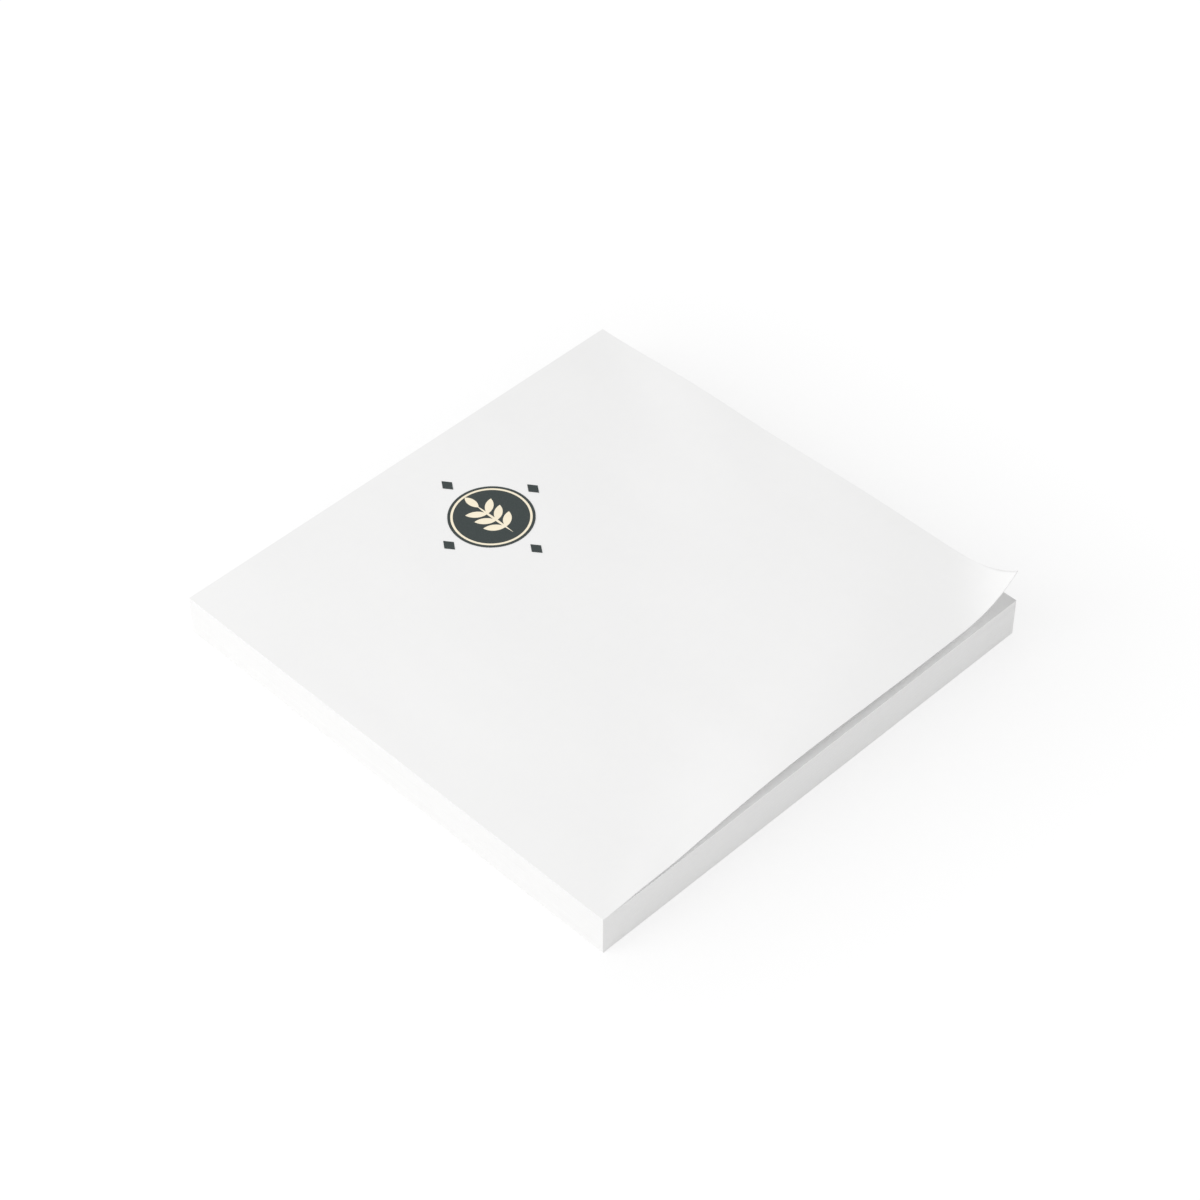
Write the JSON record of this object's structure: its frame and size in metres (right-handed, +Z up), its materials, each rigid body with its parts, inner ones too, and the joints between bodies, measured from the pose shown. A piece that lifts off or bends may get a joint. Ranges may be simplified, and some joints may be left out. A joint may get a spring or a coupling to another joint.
{
  "type": "sticky note pad",
  "caption": "Square pad of white sticky notes, glued along one edge, with a small printed medallion and the loose top note curling up at one corner.",
  "frame": {"origin": "centre of the pad's footprint, on the surface that it lies on", "axes": "+Z up through the sheets, +Y up the note towards its glued edge, +X across the note to the right as it is read; the curled corner is at +X, -Y"},
  "size_m": [0.0762, 0.0762, 0.0115],
  "materials": {
    "backing": "plain white stiff sheet",
    "block_paper": "white uncoated, cut edges",
    "adhesive": "thin low-tack glue, slightly glossy",
    "note_paper": "white uncoated",
    "dark_ink": "matt dark grey-green print on paper",
    "cream_ink": "matt cream print on paper"
  },
  "bodies": {
    "root": {"backing_sheet": "backing", "note_block": "block_paper", "adhesive_strip": "adhesive", "top_note": "note_paper", "print_dark": "dark_ink", "print_cream": "cream_ink"}
  },
  "joints": []
}
